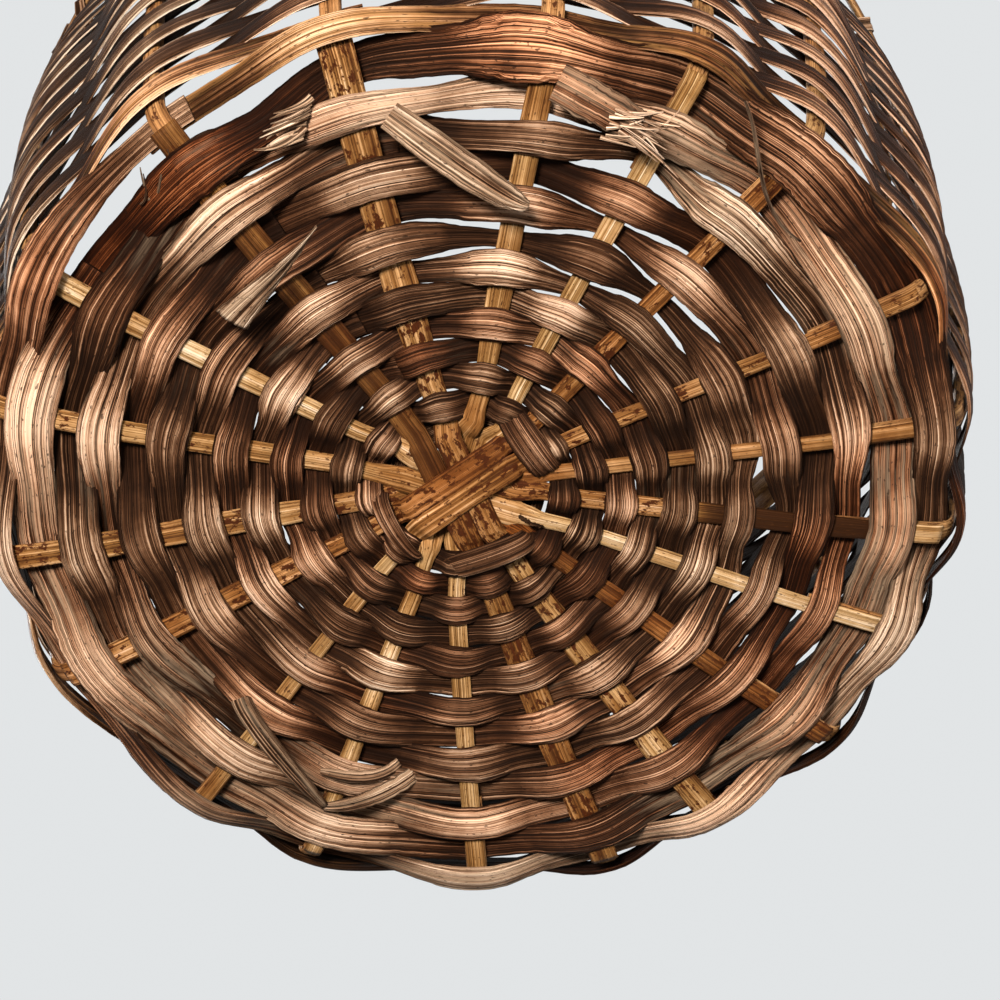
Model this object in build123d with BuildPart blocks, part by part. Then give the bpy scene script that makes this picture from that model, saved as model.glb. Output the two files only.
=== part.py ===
"""A round gathering basket, woven by hand from split bamboo and dark vine strips.

It stands on its base with its mouth up. The origin is on the ground, below the middle of the base,
and +Z is up. Lengths are in millimetres and angles in degrees, counted from +X towards +Y.
"""
from build123d import *
from math import asin, atan2, cos, degrees, pi, radians, sin, sqrt
import os

# Outline of the woven surface, which runs midway between the two faces of the weave
base_flat_radius = 146.0
corner_radius = 9.0
belly_radius = 170.0
belly_height = 165.0
height = 232.0
kick_up = 5.0
middle_drift = (4.7, -3.2)

# Split bamboo of the base: ten splits that cross in the middle make nineteen spokes
split_thickness = 0.9
split_width_inner = 5.4
split_width_outer = 8.4
wide_split_extra = 2.2
width_full_radius = 60.0
crossing_radius = 18.0
woven_from_radius = 21.5
layer_gap = 0.15
half_split_start = 10.0
spoke_end = 151.0

# Direction of each spoke at the fan radius, just outside the crossing, and where it reaches the edge
fan_radius = 24.0
cross_angles = [103, 120, 136.5, 153, 169, 185, 202, 219.5, 237.5, 256,
                275, 292.5, 314, 333.5, 354, 375, 395, 416.5, 437]
edge_angles = [98.8, 116, 131.5, 154.5, 172, 187, 201.3, 219, 237.5, 253,
               270, 292, 308.3, 333, 350.8, 371, 389.3, 412.5, 434.5]
spoke_count = len(edge_angles)
wide_spokes = [9, 17, 18]

# Nearer the middle the spokes space themselves out more evenly, so that the pairs lie side by side
middle_evening = 0.6
even_step = 360 / spoke_count
even_start = sum(cross_angles[k] - k * even_step for k in range(spoke_count)) / spoke_count
middle_angles = [cross_angles[k] + middle_evening * (even_start + k * even_step - cross_angles[k])
                 for k in range(spoke_count)]

# Each whole split: the two spokes that it makes and its layer in the crossing, from the outside in
split_pairs = [
    (2, 13, -2),
    (3, 12, -2),
    (17, 9, -1),
    (18, 8, -1),
    (16, 5, 0),
    (15, 6, 0),
    (4, 14, 1),
    (0, 11, 2),
    (1, 10, 2),
]
half_split = (7, 1)

# Stakes of the wall, half round, with a thinned foot that is pushed in beside each spoke
stake_width = 7.0
stake_thickness = 4.0
stake_bevel = 1.3
foot_thickness = 2.0
foot_start = 117.0
foot_blend_start = 78.0
full_stake_at = 170.0
stack_gap = 0.15

# Weavers: flat strips that pass over and under the spokes and stakes in one spiral
weaver_thickness = 1.0
border_thickness = 1.5
weave_clearance = 0.2
corner_clearance = 0.2
side_clearance = 0.7
row_gap = 0.9
corner_squeeze = 1.4
corner_reach = 12.0
first_row_radius = 31.0
first_row_pitch = 8.4
base_rounds = 12
wall_row_pitch = 9.0
long_gap = 12.0
end_tuck = 5.0
ground_wear = 0.15
level_until = 149.0
leans_fully_from = 153.0

# Where one strip of the base ends and the next begins, counted in spokes along the spiral
base_breaks = [-12, 36, 74, 112, 150, 170, 188, 206, 226]
border_end = 246
wall_strips = 10
swing_samples = 12

# Rim: two flat hoops that clasp the stakes, bound with one long strip
hoop_thickness = 3.0
hoop_width = 13.0
hoop_clearance = 0.2
lash_width = 5.0
lash_thickness = 0.8
lash_turns_per_gap = 3
rim_gap = 0.6

# Worked out from the sizes above
stack = split_thickness + stack_gap + foot_thickness
edge_height = stack / 2 + weave_clearance + weaver_thickness - ground_wear
spoke_drop = (stack - split_thickness) / 2
foot_rise = (stack - foot_thickness) / 2
rise = belly_height - edge_height - corner_radius
flare = belly_radius - base_flat_radius
wall_radius = (flare**2 + rise**2 - corner_radius**2) / (2 * (flare - corner_radius))
corner_turn = atan2(wall_radius - flare, rise)
corner_end = base_flat_radius + corner_radius * corner_turn
last_base_row = base_flat_radius + corner_radius
pitch_growth = (last_base_row - first_row_radius - base_rounds * first_row_pitch) / base_rounds**2
base_steps = base_rounds * spoke_count


def meridian(s):
    """Radius, height and slope of the woven surface at a distance s along it from the middle."""
    if s <= base_flat_radius:
        share = s / base_flat_radius
        fall = 4 * kick_up * share * (1 - share**2) / base_flat_radius
        return s, edge_height + kick_up * (1 - share**2) ** 2, -atan2(fall, 1)
    turn = (s - base_flat_radius) / corner_radius
    if turn <= corner_turn:
        out = base_flat_radius + corner_radius * sin(turn)
        return out, edge_height + corner_radius * (1 - cos(turn)), turn
    climb = corner_turn + (s - corner_end) / wall_radius
    out = belly_radius - wall_radius * (1 - sin(climb))
    return out, belly_height - wall_radius * cos(climb), climb


def along_wall(z):
    """Distance along the woven surface at which the wall reaches the height z."""
    climb = pi / 2 + asin((z - belly_height) / wall_radius)
    return corner_end + (climb - corner_turn) * wall_radius


def on_circle(radius, angle):
    return Vector(radius * cos(radians(angle)), radius * sin(radians(angle)), 0)


def drift(s):
    """The middle of the weave lies a little to one side of the middle of the basket."""
    return Vector(*middle_drift) * max(1 - (s / base_flat_radius) ** 2, 0)


def surface_point(s, angle, offset, tilt=0):
    """A point off the woven surface, towards the inside where the offset is positive."""
    r, z, slope = meridian(s)
    out = r - offset * sin(slope + tilt)
    return on_circle(out, angle) + drift(s) + Vector(0, 0, z + offset * cos(slope + tilt))


def around(angle):
    """Unit vector round the basket."""
    return Vector(-sin(radians(angle)), cos(radians(angle)), 0)


def up_surface(s, angle, tilt=0):
    """Unit vector along the woven surface, outwards and up."""
    slope = meridian(s)[2] + tilt
    flat = cos(slope)
    return Vector(flat * cos(radians(angle)), flat * sin(radians(angle)), sin(slope))


def weaver_plane(s, angle, offset, tilt=0):
    """Section plane of a strip that runs round the basket."""
    origin = surface_point(s, angle, offset, tilt)
    return Plane(origin=origin, x_dir=up_surface(s, angle, tilt), z_dir=around(angle))


def stake_plane(s, angle, offset):
    """Section plane of a strip that runs up the basket."""
    origin = surface_point(s, angle, offset)
    return Plane(origin=origin, x_dir=around(angle), z_dir=up_surface(s, angle))


def blend(s, start, stop, first, last):
    """A value that changes evenly from first to last between two distances."""
    share = min(max((s - start) / (stop - start), 0), 1)
    return first + share * (last - first)


def spoke_angle(k, r):
    """Direction from the middle in which spoke k crosses the circle of radius r."""
    if r < fan_radius:
        return blend(r, crossing_radius, fan_radius, middle_angles[k], cross_angles[k])
    start = on_circle(fan_radius, cross_angles[k])
    run = on_circle(base_flat_radius, edge_angles[k]) - start
    reach = min(r, base_flat_radius)
    a = run.dot(run)
    b = 2 * start.dot(run)
    c = fan_radius**2 - reach**2
    at = start + run * ((-b + sqrt(max(b * b - 4 * a * c, 0))) / (2 * a))
    angle = degrees(atan2(at.Y, at.X))
    return angle + 360 * round((edge_angles[k] - angle) / 360)


def split_width(k, r):
    extra = wide_split_extra if k in wide_spokes else 0
    outer = split_width_outer + extra
    return blend(r, crossing_radius, width_full_radius, split_width_inner, outer)


def passed_thickness(s):
    """Thickness of what a weaver passes: a split, then a split with a stake's foot, then a stake."""
    on_base = blend(s, foot_blend_start, foot_start, split_thickness, stack)
    return blend(s, spoke_end, full_stake_at, on_base, stake_thickness)


def weaver_tilt(s, inside):
    """Turn of a weaver off the surface: outside the corner it lies level at first, clear of the ground."""
    if inside or s < base_flat_radius:
        return 0
    return -meridian(s)[2] * blend(s, level_until, leans_fully_from, 1, 0)


def swing(s, inside, width, thickness):
    """How far a weaver's middle stands off the woven surface, for its flat width to clear what it passes."""
    side = 1 if inside else -1
    tilt = weaver_tilt(s, inside)
    middle = surface_point(s, 0, 0)
    off = surface_point(s, 0, side, tilt) - middle
    along = up_surface(s, 0, tilt)
    highest = 0
    for n in range(-swing_samples, swing_samples + 1):
        beside = s + width * n / swing_samples
        face = surface_point(beside, 0, side * passed_thickness(beside) / 2) - middle
        if abs(face.dot(along)) <= width / 2:
            highest = max(highest, face.dot(off))
    in_corner = base_flat_radius - width / 2 < s < corner_end + width / 2
    clearance = weave_clearance + (corner_clearance if inside and in_corner else 0)
    return highest + thickness / 2 + clearance


def row_distance(i):
    """Distance along the woven surface at step i of the spiral, one step to each spoke."""
    rounds = i / spoke_count
    if i <= base_steps:
        return first_row_radius + first_row_pitch * rounds + pitch_growth * rounds**2
    return last_base_row + wall_row_pitch * (rounds - base_rounds)


def row_width(i):
    """Width of the strip at step i. It leaves a gap to the rows on either side, a wider one in the corner."""
    s = row_distance(i)
    pitch = min(row_distance(i + spoke_count) - s, s - row_distance(i - spoke_count))
    corner_middle = (base_flat_radius + corner_end) / 2
    squeeze = blend(abs(s - corner_middle), 0, corner_reach, corner_squeeze, 0)
    return pitch - row_gap - squeeze


def crossing(i):
    """Direction and half the angle that a weaver lies flat for, where it passes a spoke or a stake."""
    k = i % spoke_count
    s = row_distance(i)
    r = meridian(s)[0]
    warp = split_width(k, r) if s < base_flat_radius else stake_width
    angle = spoke_angle(k, r) + 360 * (i // spoke_count)
    return angle, degrees(asin((warp / 2 + side_clearance) / r)), r


def weaver_stations(first, last, thickness, lies_on=weaver_thickness):
    """Sections of a strip from step first to step last, tucked in behind a spoke at both ends.

    Its first end lies on the last end of the strip before it, whose thickness is lies_on.
    """
    stations = []

    def station(i, angle, offset, tilt):
        plane = weaver_plane(row_distance(i), angle, offset, tilt)
        stations.append((plane, row_width(i), thickness))

    for i in range(first, last + 1):
        inside = i % 2 == 0
        angle, half, r = crossing(i)
        after, after_half, _ = crossing(i + 1)
        before, before_half, _ = crossing(i - 1)
        side = 1 if inside else -1
        tilt = weaver_tilt(row_distance(i), inside)
        offset = side * swing(row_distance(i), inside, row_width(i), thickness)
        gap = (after - after_half) - (angle + half)
        back_gap = (angle - half) - (before + before_half)
        tuck = degrees(end_tuck / r)
        start, stop = angle - half, angle + half
        if i == first:
            offset += lies_on + weave_clearance if i > base_breaks[0] else 0
            start -= min(tuck, back_gap / 2)
            stop += min(tuck, gap / 2) if i > base_breaks[0] else 0
        if i == last:
            stop += min(tuck, gap / 2) * 0.8
        step = max(after - angle, 1)
        station(i - (angle - start) / step, start, offset, tilt)
        station(i + (stop - angle) / step, stop, offset, tilt)
        if i < last and radians(gap) * r > long_gap:
            following = -side * swing(row_distance(i + 1), not inside, row_width(i), thickness)
            tilt_after = weaver_tilt(row_distance(i + 1), not inside)
            for share in (1 / 3, 2 / 3):
                there = stop + share * (after - after_half - stop)
                weight = (1 + cos(pi * share)) / 2
                offset_there = offset * weight + following * (1 - weight)
                tilt_there = tilt * weight + tilt_after * (1 - weight)
                station(i + (there - angle) / (after - angle), there, offset_there, tilt_there)
    return stations


def woven_strip(sections):
    """A closed strip through four-cornered sections, with a ruled face along each of its sides."""
    rings = []
    for plane, width, thickness in sections:
        x, y = width / 2, thickness / 2
        rings.append([plane.from_local_coords(at) for at in ((-x, -y), (x, -y), (x, y), (-x, y))])
    faces = [Face(Wire.make_polygon(ring, close=True)) for ring in (rings[0], rings[-1])]
    for here, following in zip(rings, rings[1:]):
        for j in range(4):
            k = (j + 1) % 4
            faces.append(Face.make_bezier_surface([[here[j], here[k]], [following[j], following[k]]]))
    return Solid(Shell(faces))


def finish(part, name):
    part.label = name
    export_step(part, f"parts/{name}.step")


os.makedirs("parts", exist_ok=True)


def split_points(k):
    """Points along spoke k from the crossing outwards, each with the split's width and its distance."""
    points = []
    for s in (crossing_radius, woven_from_radius, 30, 40, 52, 65, foot_blend_start, 91, 104,
              foot_start, 132, base_flat_radius, base_flat_radius + 3, spoke_end):
        drop = blend(s, foot_blend_start, foot_start, 0, spoke_drop)
        r = meridian(s)[0]
        points.append((surface_point(s, spoke_angle(k, r), -drop), split_width(k, r), s))
    return points


def split_stations(points, layer):
    """Sections across a split through its points, each square to its run in plan."""
    stations = []
    for j, (point, width, s) in enumerate(points):
        ahead = points[min(j + 1, len(points) - 1)][0]
        behind = points[max(j - 1, 0)][0]
        run = Vector(ahead.X - behind.X, ahead.Y - behind.Y, 0).normalized()
        level = 1 if s <= crossing_radius else 0
        lift = level * layer * (split_thickness + layer_gap)
        origin = Vector(point.X, point.Y, point.Z + lift)
        if s > base_flat_radius:
            run = up_surface(s, degrees(atan2(point.Y, point.X)))
        across = Vector(-run.Y, run.X, 0).normalized()
        stations.append((Plane(origin=origin, x_dir=across, z_dir=run), width, split_thickness))
    return stations


# Base splits
for number, (k, opposite, layer) in enumerate(split_pairs, start=1):
    far_side = [(p, w, s) for p, w, s in reversed(split_points(opposite))]
    sections = split_stations(far_side + split_points(k), layer)
    with BuildPart() as base_split:
        for plane, width, thickness in sections:
            with BuildSketch(plane):
                Rectangle(width, thickness)
        loft(ruled=True)
    finish(base_split.part, f"base_split_{number}")

# The odd half split, whose inner end lies between the layers of the crossing
odd_spoke, odd_layer = half_split
lift_there = drift(crossing_radius) + Vector(0, 0, meridian(crossing_radius)[1])
inner_end = on_circle(half_split_start, middle_angles[odd_spoke]) + lift_there
odd_points = [(inner_end, split_width_inner, half_split_start)] + split_points(odd_spoke)
with BuildPart() as base_split_half:
    for plane, width, thickness in split_stations(odd_points, odd_layer):
        with BuildSketch(plane):
            Rectangle(width, thickness)
    loft(ruled=True)
finish(base_split_half.part, "base_split_half")

# Weavers of the base, whose lowest crests are worn flat where the basket stands
for number, (first, last) in enumerate(zip(base_breaks, base_breaks[1:]), start=1):
    with BuildPart() as base_weaver:
        add(woven_strip(weaver_stations(first, last, weaver_thickness)))
        if base_weaver.part.bounding_box().min.Z < 0:
            split(bisect_by=Plane.XY, keep=Keep.TOP)
    finish(base_weaver.part, f"base_weaver_{number}")

# The stout band that turns the corner from base to wall
with BuildPart() as border_band:
    add(woven_strip(weaver_stations(base_breaks[-1], border_end, border_thickness)))
finish(border_band.part, "border_band")

# Rim sizes that the stakes and the wall end at
rim_top = height - lash_thickness - hoop_clearance
hoop_middle = along_wall(rim_top - hoop_width / 2)
hoop_offset = stake_thickness / 2 + hoop_clearance + hoop_thickness / 2
lash_out = hoop_offset + hoop_thickness / 2 + hoop_clearance + lash_thickness / 2
lash_up = hoop_width / 2 + hoop_clearance + lash_thickness / 2
stake_end = hoop_middle + hoop_width / 2 - 1

# Stakes of the wall, with most sections where they turn the corner
foot = [blend(n, 0, 4, foot_start, base_flat_radius) for n in range(4)]
corner = [blend(n, 0, 10, base_flat_radius, corner_end) for n in range(11)]
climb = [blend(n, 0, 12, full_stake_at, stake_end) for n in range(13)]
for number, angle in enumerate(edge_angles, start=1):
    with BuildPart() as wall_stake:
        for s in foot + corner + climb:
            thickness = blend(s, spoke_end, full_stake_at, foot_thickness, stake_thickness)
            rise_here = blend(s, spoke_end, full_stake_at, foot_rise, 0)
            half, deep = stake_width / 2, thickness / 2
            bevel = stake_bevel * thickness / stake_thickness
            with BuildSketch(stake_plane(s, angle, rise_here)):
                with BuildLine():
                    Polyline((-half, -deep), (half, -deep), (half, deep - bevel),
                             (half - bevel, deep), (bevel - half, deep), (-half, deep - bevel), close=True)
                make_face()
        loft(ruled=True)
    finish(wall_stake.part, f"wall_stake_{number:02d}")

# Weavers of the wall
last_row = hoop_middle - lash_up - lash_thickness / 2 - rim_gap - (wall_row_pitch - row_gap) / 2
wall_steps = int((last_row - row_distance(border_end)) / wall_row_pitch * spoke_count)
wall_breaks = [border_end + 2 * round(wall_steps * n / wall_strips / 2) for n in range(wall_strips + 1)]
for number, (first, last) in enumerate(zip(wall_breaks, wall_breaks[1:]), start=1):
    lies_on = border_thickness if number == 1 else weaver_thickness
    with BuildPart() as wall_weaver:
        add(woven_strip(weaver_stations(first, last, weaver_thickness, lies_on)))
    finish(wall_weaver.part, f"wall_weaver_{number:02d}")

# Rim hoops, which lean with the wall
_, hoop_z, hoop_slope = meridian(hoop_middle)
hoop_r = meridian(hoop_middle)[0]
lean = degrees(hoop_slope) - 90
for name, side in (("rim_hoop_inner", 1), ("rim_hoop_outer", -1)):
    hoop_at = (hoop_r - side * hoop_offset * sin(hoop_slope), hoop_z + side * hoop_offset * cos(hoop_slope))
    with BuildPart() as hoop:
        with BuildSketch(Plane.XZ):
            with Locations(Location((*hoop_at, 0), (0, 0, lean))):
                Rectangle(hoop_thickness, hoop_width)
        revolve(axis=Axis.Z)
    finish(hoop.part, name)


def lash_plane(angle, side, end):
    """Mitred section plane at one corner of the lashing's path round the two hoops."""
    origin = surface_point(hoop_middle + end * lash_up, angle, side * lash_out)
    slope = meridian(hoop_middle)[2]
    up = Vector(cos(slope) * cos(radians(angle)), cos(slope) * sin(radians(angle)), sin(slope))
    inward = Vector(-sin(slope) * cos(radians(angle)), -sin(slope) * sin(radians(angle)), cos(slope))
    travel = (inward * end * -1 + up * side * 1) * -1
    return Plane(origin=origin, x_dir=around(angle), z_dir=travel.normalized())


# Lashing: one strip wound over the two hoops, between the stakes
gaps = spoke_count * lash_turns_per_gap
lash_sections = []
for turn in range(gaps):
    k, part_of_gap = divmod(turn, lash_turns_per_gap)
    here = edge_angles[k]
    following = edge_angles[k + 1] if k + 1 < spoke_count else edge_angles[0] + 360
    step = (following - here) / lash_turns_per_gap
    under = here + (part_of_gap + 0.5) * step
    for shift, side, end in ((0, -1, -1), (0, 1, -1), (0.5, 1, 1), (0.5, -1, 1)):
        mitre = lash_plane(under + shift * step, side, end)
        lash_sections.append((mitre, lash_width, lash_thickness * sqrt(2)))
with BuildPart() as rim_lashing:
    add(woven_strip(lash_sections))
finish(rim_lashing.part, "rim_lashing")
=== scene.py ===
"""A round gathering basket, woven from dark vine strips over split bamboo, seen from below its base.

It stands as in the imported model: mouth up, origin on the ground below the middle, metres. The run of
every strip is worked out in millimetres, as the weaver would measure it, and its mesh is in metres.
"""
from math import atan2, cos, pi, radians, sin

import bmesh
import bpy
import numpy as np
from mathutils import Matrix, Vector


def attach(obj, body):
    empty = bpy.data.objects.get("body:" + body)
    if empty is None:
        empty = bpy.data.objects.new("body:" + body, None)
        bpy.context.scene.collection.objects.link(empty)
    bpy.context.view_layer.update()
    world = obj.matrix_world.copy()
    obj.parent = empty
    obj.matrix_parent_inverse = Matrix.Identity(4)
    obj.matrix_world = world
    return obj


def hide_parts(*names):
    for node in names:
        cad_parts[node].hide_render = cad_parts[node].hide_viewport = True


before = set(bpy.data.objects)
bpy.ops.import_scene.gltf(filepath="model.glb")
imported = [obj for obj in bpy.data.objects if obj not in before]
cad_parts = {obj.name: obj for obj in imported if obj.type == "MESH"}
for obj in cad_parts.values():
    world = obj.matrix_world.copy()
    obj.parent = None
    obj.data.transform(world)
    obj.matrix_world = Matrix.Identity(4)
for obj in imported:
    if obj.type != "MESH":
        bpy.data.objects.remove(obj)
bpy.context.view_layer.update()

# Base splits: ten flat splits of bamboo that cross in pairs in the middle of the base and fan out into
# nineteen spokes. They are split by hand, amber with dark speckles where the skin is left on, and cut
# off at the edge of the base.
mm = 0.001
base_flat_radius = 146.0
corner_radius = 9.0
belly_radius = 170.0
belly_height = 165.0
kick_up = 5.0
middle_drift = (4.7, -3.2)
split_thickness = 0.9
stack_gap = 0.15
foot_thickness = 2.0
weaver_thickness = 1.0
weave_clearance = 0.2
ground_wear = 0.15
stack = split_thickness + stack_gap + foot_thickness
edge_height = stack / 2 + weave_clearance + weaver_thickness - ground_wear
wall_rise = belly_height - edge_height - corner_radius
wall_flare = belly_radius - base_flat_radius
wall_radius = (wall_flare**2 + wall_rise**2 - corner_radius**2) / (2 * (wall_flare - corner_radius))
corner_turn = atan2(wall_radius - wall_flare, wall_rise)
corner_end = base_flat_radius + corner_radius * corner_turn


def meridian(s):
    """Radius, height and slope of the woven shape at a distance s along it from the middle."""
    s = np.asarray(s, float)
    share = np.clip(s / base_flat_radius, 0, 1)
    fall = 4 * kick_up * share * (1 - share**2) / base_flat_radius
    turn = np.clip((s - base_flat_radius) / corner_radius, 0, corner_turn)
    climb = corner_turn + np.maximum(s - corner_end, 0) / wall_radius
    on_base = s <= base_flat_radius
    on_wall = s > corner_end
    r = np.where(on_base, s, base_flat_radius + corner_radius * np.sin(turn))
    r = np.where(on_wall, belly_radius - wall_radius * (1 - np.sin(climb)), r)
    z = np.where(on_base, edge_height + kick_up * (1 - share**2) ** 2,
                 edge_height + corner_radius * (1 - np.cos(turn)))
    z = np.where(on_wall, belly_height - wall_radius * np.cos(climb), z)
    slope = np.where(on_base, -np.arctan(fall), turn)
    return r, z, np.where(on_wall, climb, slope)


def inward(s, angle):
    """Unit vectors square to the woven shape, towards the inside of the basket."""
    slope = meridian(s)[2]
    turned = np.radians(angle)
    outward = np.sin(slope)
    return np.stack([-outward * np.cos(turned), -outward * np.sin(turned), np.cos(slope)], axis=-1)


def on_shape(s, angle, offset):
    """Points off the woven shape, in millimetres."""
    r, z, _ = meridian(s)
    turned = np.radians(angle)
    drift = np.clip(1 - (np.asarray(s) / base_flat_radius) ** 2, 0, None)
    skin = np.stack([r * np.cos(turned) + middle_drift[0] * drift,
                     r * np.sin(turned) + middle_drift[1] * drift, z], axis=-1)
    return skin + inward(s, angle) * np.asarray(offset)[..., None]


def smooth(x, start, stop):
    """A soft step from 0 at start to 1 at stop."""
    share = np.clip((np.asarray(x, float) - start) / (stop - start), 0, 1)
    return share * share * (3 - 2 * share)


def wander(rng, along, wavelength, waves=4):
    """A slow, random swing between about -1 and 1 along a strip."""
    total = np.zeros(len(along))
    for _ in range(waves):
        length = wavelength * rng.uniform(0.5, 1.8)
        total += np.sin(2 * pi * (along / length + rng.uniform()))
    return total / waves ** 0.5 / 1.4


run_values = ("width", "thickness", "camber", "twist", "tone", "warmth", "furrow", "mottle", "edge")
furrow_waves = (0.21, 0.4, 0.62, 0.88)


def bend_strips(name, runs, material, around=24, tube_seed=0):
    """Strips in one mesh. Each is a flat grid that is rolled shut round its section and bent along its run.

    A run gives the strip's centre and normal along it. The rest are arrays along it, or one number where
    it stays the same: width, thickness, camber, twist, tone, warmth, the depth of its furrows, how mottled
    it is, and how pale its edges are or how dark, where they carry painted shade.
    """
    joined = bmesh.new()
    joined_mesh = bpy.data.meshes.new(name)
    for number, run in enumerate(runs):
        rng = np.random.default_rng([tube_seed, number])
        centre = np.asarray(run["centre"], float)
        count = len(centre)
        spread = {key: np.broadcast_to(run[key], count) for key in run_values}
        tangent = np.gradient(centre, axis=0)
        tangent /= np.linalg.norm(tangent, axis=1)[:, None]
        across = np.cross(run["normal"], tangent)
        across /= np.linalg.norm(across, axis=1)[:, None]
        face = np.cross(tangent, across)
        steps = np.linalg.norm(np.diff(centre, axis=0), axis=1)
        length = np.concatenate([[0], np.cumsum(steps)])

        grid = bmesh.new()
        grid.loops.layers.uv.new("run")
        bmesh.ops.create_grid(grid, x_segments=count - 1, y_segments=around, size=1, calc_uvs=True)
        strip = bpy.data.meshes.new("strip")
        grid.to_mesh(strip)
        grid.free()
        flat = np.empty(len(strip.vertices) * 3)
        strip.vertices.foreach_get("co", flat)
        station = np.rint((flat[0::3] + 1) / 2 * (count - 1)).astype(int)
        ring = (flat[1::3] + 1) * pi

        at_station = {key: values[station] for key, values in spread.items()}
        twist = at_station["twist"]
        half = at_station["width"] / 2
        x = -np.cos(ring)
        skin = np.sign(np.sin(ring)) * (1 - np.abs(x) ** 5) ** 0.5
        skin[np.abs(np.sin(ring)) < 1e-6] = 0
        furrows = np.zeros(len(x))
        for wave in furrow_waves:
            bend = rng.uniform(0.2, 0.7) * np.sin(length[station] / rng.uniform(20, 60) + rng.uniform(0, 6))
            furrows += np.sin(2 * pi * wave * x * half + rng.uniform(0, 6) + bend + np.sign(skin))
        furrows /= 2.4
        y = skin * at_station["thickness"] / 2 * (1 + at_station["furrow"] * furrows * 1.6)
        y += at_station["camber"] * (1 - x**2)
        x = x * half * (1 + 0.05 * furrows)
        place = (centre[station] + across[station] * (x * np.cos(twist) - y * np.sin(twist))[:, None]
                 + face[station] * (y * np.cos(twist) + x * np.sin(twist))[:, None])
        strip.vertices.foreach_set("co", (place * mm).ravel())

        look = strip.attributes.new("look", "FLOAT_COLOR", "POINT")
        values = np.ones((len(x), 4))
        # Edge: a positive one makes the edges paler, a negative one darkens them as painted shade where the
        # strip curves away
        values[:, 0] = at_station["tone"] + at_station["edge"] * np.abs(x / half) ** 12
        values[:, 1] = at_station["warmth"]
        values[:, 2] = 0.5 + 0.5 * furrows
        values[:, 3] = at_station["mottle"]
        look.data.foreach_set("color", values.ravel())

        uv = np.empty(len(strip.loops) * 2)
        strip.uv_layers.active.data.foreach_get("uv", uv)
        at = np.rint(uv[0::2] * (count - 1)).astype(int)
        uv[0::2] = length[at] / 10 + 37 * rng.uniform()
        uv[1::2] = uv[1::2] * 2 * spread["width"].mean() / 10 + 11 * rng.uniform()
        strip.uv_layers.active.data.foreach_set("uv", uv)
        joined.from_mesh(strip)
        bpy.data.meshes.remove(strip)
    bmesh.ops.remove_doubles(joined, verts=joined.verts, dist=2e-6)
    open_edges = [edge for edge in joined.edges if edge.is_boundary]
    bmesh.ops.holes_fill(joined, edges=open_edges, sides=0)
    bmesh.ops.recalc_face_normals(joined, faces=joined.faces)
    for skin_face in joined.faces:
        skin_face.smooth = True
    joined.to_mesh(joined_mesh)
    joined.free()
    joined_mesh.materials.append(material)
    piece = bpy.data.objects.new(name, joined_mesh)
    bpy.context.scene.collection.objects.link(piece)
    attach(piece, "root")
    return piece


def wired(tree, kind, sockets, **settings):
    """A node with these settings, whose sockets take numbers, colours or other nodes' outputs."""
    made = tree.nodes.new(kind)
    for key, value in settings.items():
        setattr(made, key, value)
    for key, value in sockets.items():
        if isinstance(value, bpy.types.NodeSocket):
            tree.links.new(value, made.inputs[key])
        else:
            made.inputs[key].default_value = value
    return made


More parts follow.
